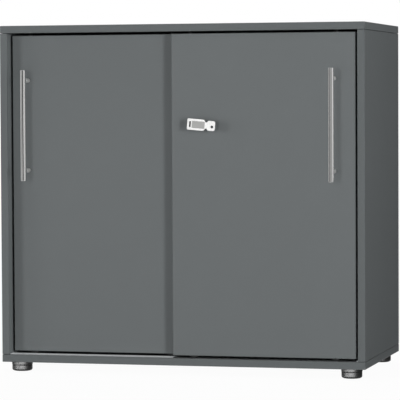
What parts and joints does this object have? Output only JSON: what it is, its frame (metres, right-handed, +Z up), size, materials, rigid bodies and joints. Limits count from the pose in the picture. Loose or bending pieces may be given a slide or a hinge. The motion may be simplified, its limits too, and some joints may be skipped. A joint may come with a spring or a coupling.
{
  "type": "sliding door cabinet",
  "caption": "Low office cabinet with overlapping sliding doors on rollers, vertical bar handles, a push lock with a folding key, an inner shelf and levelling feet.",
  "frame": {"origin": "on the floor, under the middle of the box that encloses the cabinet with its handles", "axes": "+X to the cabinet's right seen from the front, +Y to its back, +Z up; the doors face -Y"},
  "size_m": [0.8, 0.438, 0.748],
  "materials": {
    "melamine_board": "matt anthracite grey melamine on chipboard, with matching edge band",
    "door_board": "matt anthracite grey melamine on chipboard, with matching edge band",
    "inner_board": "matt anthracite grey melamine on chipboard",
    "handle_steel": "satin brushed stainless steel",
    "zinc_steel": "zinc plated steel",
    "track_plastic": "extruded light grey plastic",
    "black_plastic": "moulded black plastic",
    "foot_plastic": "moulded black plastic with a soft sheen",
    "roller_plastic": "dark grey acetal",
    "lock_nickel": "nickel plated, satin"
  },
  "bodies": {
    "carcass": {"top_panel": "melamine_board", "bottom_panel": "melamine_board", "left_side_panel": "melamine_board", "right_side_panel": "melamine_board", "back_panel": "inner_board", "shelf": "inner_board", "shelf_pin_front_left": "zinc_steel", "shelf_pin_front_right": "zinc_steel", "shelf_pin_rear_left": "zinc_steel", "shelf_pin_rear_right": "zinc_steel", "top_rail": "black_plastic", "bottom_track": "track_plastic", "foot_mount_front_left": "foot_plastic", "foot_mount_front_right": "foot_plastic", "foot_mount_rear_left": "foot_plastic", "foot_mount_rear_right": "foot_plastic"},
    "left_door": {"left_door_panel": "door_board", "left_handle_bar": "handle_steel", "left_handle_post_upper": "handle_steel", "left_handle_post_lower": "handle_steel", "left_handle_screw_upper": "zinc_steel", "left_handle_screw_lower": "zinc_steel", "left_roller_housing_left": "black_plastic", "left_roller_housing_right": "black_plastic", "left_roller_axle_left": "zinc_steel", "left_roller_axle_right": "zinc_steel", "left_top_guide_left": "black_plastic", "left_top_guide_right": "black_plastic", "lock_striker": "zinc_steel", "striker_screw_upper": "zinc_steel", "striker_screw_lower": "zinc_steel"},
    "right_door": {"right_door_panel": "door_board", "right_handle_bar": "handle_steel", "right_handle_post_upper": "handle_steel", "right_handle_post_lower": "handle_steel", "right_handle_screw_upper": "zinc_steel", "right_handle_screw_lower": "zinc_steel", "right_roller_housing_left": "black_plastic", "right_roller_housing_right": "black_plastic", "right_roller_axle_left": "zinc_steel", "right_roller_axle_right": "zinc_steel", "right_top_guide_left": "black_plastic", "right_top_guide_right": "black_plastic", "lock_sleeve": "lock_nickel"},
    "left_wheel_left": {"left_roller_wheel_left": "roller_plastic"},
    "left_wheel_right": {"left_roller_wheel_right": "roller_plastic"},
    "right_wheel_left": {"right_roller_wheel_left": "roller_plastic"},
    "right_wheel_right": {"right_roller_wheel_right": "roller_plastic"},
    "foot_front_left": {"foot_base_front_left": "foot_plastic"},
    "foot_front_right": {"foot_base_front_right": "foot_plastic"},
    "foot_rear_left": {"foot_base_rear_left": "foot_plastic"},
    "foot_rear_right": {"foot_base_rear_right": "foot_plastic"},
    "lock_barrel": {"lock_barrel": "lock_nickel", "lock_bolt": "zinc_steel"},
    "key_plug": {"lock_plug": "lock_nickel"},
    "key": {"key_blade": "zinc_steel", "key_pin": "zinc_steel"},
    "key_bow": {"key_bow": "lock_nickel"}
  },
  "joints": [
    {"name": "left_door_slide", "type": "slide", "parent": "carcass", "child": "left_door", "axis": [1, 0, 0], "range_m": [0, 0.318]},
    {"name": "right_door_slide", "type": "slide", "parent": "carcass", "child": "right_door", "axis": [1, 0, 0], "range_m": [-0.318, 0]},
    {"name": "left_wheel_left_spin", "type": "hinge", "parent": "left_door", "child": "left_wheel_left", "pos_m": [-0.3345, -0.1495, 0.0484], "axis": [0, 1, 0], "range_deg": [0, 1705]},
    {"name": "left_wheel_right_spin", "type": "hinge", "parent": "left_door", "child": "left_wheel_right", "pos_m": [-0.0275, -0.1495, 0.0484], "axis": [0, 1, 0], "range_deg": [0, 1705]},
    {"name": "right_wheel_left_spin", "type": "hinge", "parent": "right_door", "child": "right_wheel_left", "pos_m": [0.0275, -0.17, 0.0484], "axis": [0, 1, 0], "range_deg": [-1705, 0]},
    {"name": "right_wheel_right_spin", "type": "hinge", "parent": "right_door", "child": "right_wheel_right", "pos_m": [0.3345, -0.17, 0.0484], "axis": [0, 1, 0], "range_deg": [-1705, 0]},
    {"name": "lock_push", "type": "slide", "parent": "right_door", "child": "lock_barrel", "axis": [0, 1, 0], "range_m": [0, 0.007], "stiffness_N_per_m": 120},
    {"name": "key_turn", "type": "hinge", "parent": "lock_barrel", "child": "key_plug", "pos_m": [0.028, -0.1875, 0.5357], "axis": [0, 1, 0], "range_deg": [0, 90]},
    {"name": "key_withdraw", "type": "slide", "parent": "key_plug", "child": "key", "axis": [0, -1, 0], "range_m": [0, 0.013]},
    {"name": "key_fold", "type": "hinge", "parent": "key", "child": "key_bow", "pos_m": [0.028, -0.1945, 0.5357], "axis": [-0.0906, 0, -0.9959], "range_deg": [0, 90]},
    {"name": "foot_front_left_level", "type": "slide", "parent": "carcass", "child": "foot_front_left", "axis": [0, 0, 1], "range_m": [-0.01, 0]},
    {"name": "foot_front_right_level", "type": "slide", "parent": "carcass", "child": "foot_front_right", "axis": [0, 0, 1], "range_m": [-0.01, 0]},
    {"name": "foot_rear_left_level", "type": "slide", "parent": "carcass", "child": "foot_rear_left", "axis": [0, 0, 1], "range_m": [-0.01, 0]},
    {"name": "foot_rear_right_level", "type": "slide", "parent": "carcass", "child": "foot_rear_right", "axis": [0, 0, 1], "range_m": [-0.01, 0]}
  ],
  "couplings": [
    {"joint": "left_wheel_left_spin", "follows": "left_door_slide", "rad_per_m": 92.593},
    {"joint": "left_wheel_right_spin", "follows": "left_door_slide", "rad_per_m": 92.593},
    {"joint": "right_wheel_left_spin", "follows": "right_door_slide", "rad_per_m": 92.593},
    {"joint": "right_wheel_right_spin", "follows": "right_door_slide", "rad_per_m": 92.593}
  ]
}
